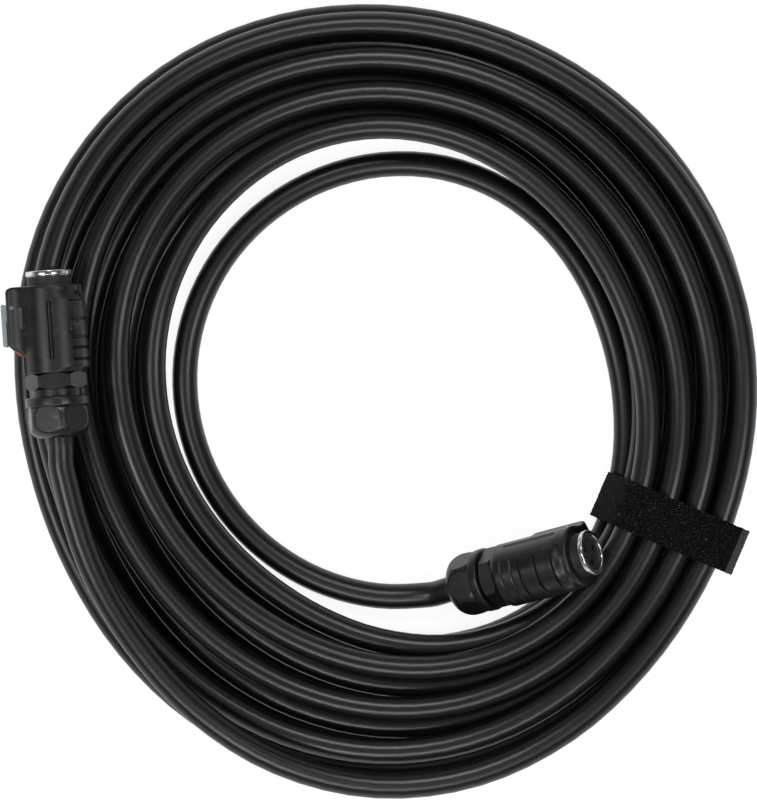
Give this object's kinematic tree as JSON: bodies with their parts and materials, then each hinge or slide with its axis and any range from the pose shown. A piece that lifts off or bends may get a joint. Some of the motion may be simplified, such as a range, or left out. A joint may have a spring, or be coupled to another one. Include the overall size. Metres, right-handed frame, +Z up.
{
  "type": "shore power cord",
  "caption": "Long black power cable in a flat round coil held by a hook-and-loop strap, with a latching round connector on each end, pins on one and sockets on the other.",
  "frame": {"origin": "on the floor under the middle of the box round both connectors and the strap, near the coil's middle", "axes": "+Z up from the floor the coil lies on, +X towards the strap's side of the coil, along the widest spread of connectors and strap"},
  "size_m": [0.3983, 0.4218, 0.0718],
  "materials": {
    "cable_jacket": "satin extruded jacket, lightly dusty",
    "strap_fabric": "matt black loop pile",
    "housing_plastic": "black moulded, satin",
    "gland_plastic": "black moulded, satin",
    "insert_plastic": "black moulded",
    "nose_metal": "bright nickel plate",
    "seal_rubber": "black, matt",
    "grommet_rubber": "dark grey, matt",
    "contact_brass": "turned",
    "steel_small": "bright",
    "core_insulation": "smooth",
    "cage_plastic": "natural nylon",
    "latch_metal": "cool silver, satin",
    "button_plastic": "red moulded"
  },
  "bodies": {
    "root": {"power_cable": "cable_jacket", "cable_free_end": "cable_jacket", "tie_strap": "strap_fabric", "plug_housing": "housing_plastic", "plug_front_ring": "nose_metal", "plug_nose_seal": "seal_rubber", "plug_insert": "insert_plastic", "plug_contacts": "contact_brass", "plug_terminal_screws": "steel_small", "plug_cores": "core_insulation", "plug_cable_end": "cable_jacket", "plug_gland_body": "gland_plastic", "plug_body_seal": "seal_rubber", "plug_grommet": "grommet_rubber", "plug_latch_pin": "steel_small", "plug_latch_spring": "steel_small", "socket_housing": "housing_plastic", "socket_front_ring": "nose_metal", "socket_nose_seal": "seal_rubber", "socket_insert": "insert_plastic", "socket_contacts": "contact_brass", "socket_terminal_screws": "steel_small", "socket_cores": "core_insulation", "socket_cable_end": "cable_jacket", "socket_gland_body": "gland_plastic", "socket_body_seal": "seal_rubber", "socket_grommet": "grommet_rubber", "socket_latch_pin": "steel_small", "socket_latch_spring": "steel_small"},
    "plug_latch": {"plug_latch_lever": "latch_metal"},
    "plug_button": {"plug_release_button": "button_plastic"},
    "plug_cage": {"plug_clamp_cage": "cage_plastic"},
    "plug_nut": {"plug_gland_nut": "gland_plastic"},
    "socket_latch": {"socket_latch_lever": "latch_metal"},
    "socket_button": {"socket_release_button": "button_plastic"},
    "socket_cage": {"socket_clamp_cage": "cage_plastic"},
    "socket_nut": {"socket_gland_nut": "gland_plastic"}
  },
  "joints": [
    {"name": "plug_latch_tilt", "type": "hinge", "parent": "root", "child": "plug_latch", "pos_m": [-0.19169, 0.07144, 0.05477], "axis": [0, 0, 1], "range_deg": [0, 8], "stiffness_Nm_per_rad": 0.3},
    {"name": "plug_button_press", "type": "slide", "parent": "root", "child": "plug_button", "axis": [0.9976, 0.0698, 0], "range_m": [0, 0.0015], "stiffness_N_per_m": 300},
    {"name": "plug_cage_slide", "type": "slide", "parent": "root", "child": "plug_cage", "axis": [0.0698, -0.9976, 0], "range_m": [0, 0.00301]},
    {"name": "plug_nut_turn", "type": "hinge", "parent": "plug_cage", "child": "plug_nut", "pos_m": [-0.1676, 0.01368, 0.05477], "axis": [0.0698, -0.9976, 0], "range_deg": [0, 720]},
    {"name": "socket_latch_tilt", "type": "hinge", "parent": "root", "child": "socket_latch", "pos_m": [0.10338, -0.05021, 0.03353], "axis": [-0.4499, 0.8138, 0.3678], "range_deg": [0, 8], "stiffness_Nm_per_rad": 0.3},
    {"name": "socket_button_press", "type": "slide", "parent": "root", "child": "socket_button", "axis": [-0.3125, -0.5293, 0.7888], "range_m": [0, 0.0015], "stiffness_N_per_m": 300},
    {"name": "socket_cage_slide", "type": "slide", "parent": "root", "child": "socket_cage", "axis": [-0.8366, -0.2399, -0.4924], "range_m": [0, 0.00301]},
    {"name": "socket_nut_turn", "type": "hinge", "parent": "socket_cage", "child": "socket_nut", "pos_m": [0.05037, -0.0742, 0.02178], "axis": [-0.8366, -0.2399, -0.4924], "range_deg": [0, 720]}
  ],
  "couplings": [
    {"joint": "plug_cage_slide", "follows": "plug_nut_turn", "m_per_rad": 0.00023873},
    {"joint": "socket_cage_slide", "follows": "socket_nut_turn", "m_per_rad": 0.00023873}
  ]
}
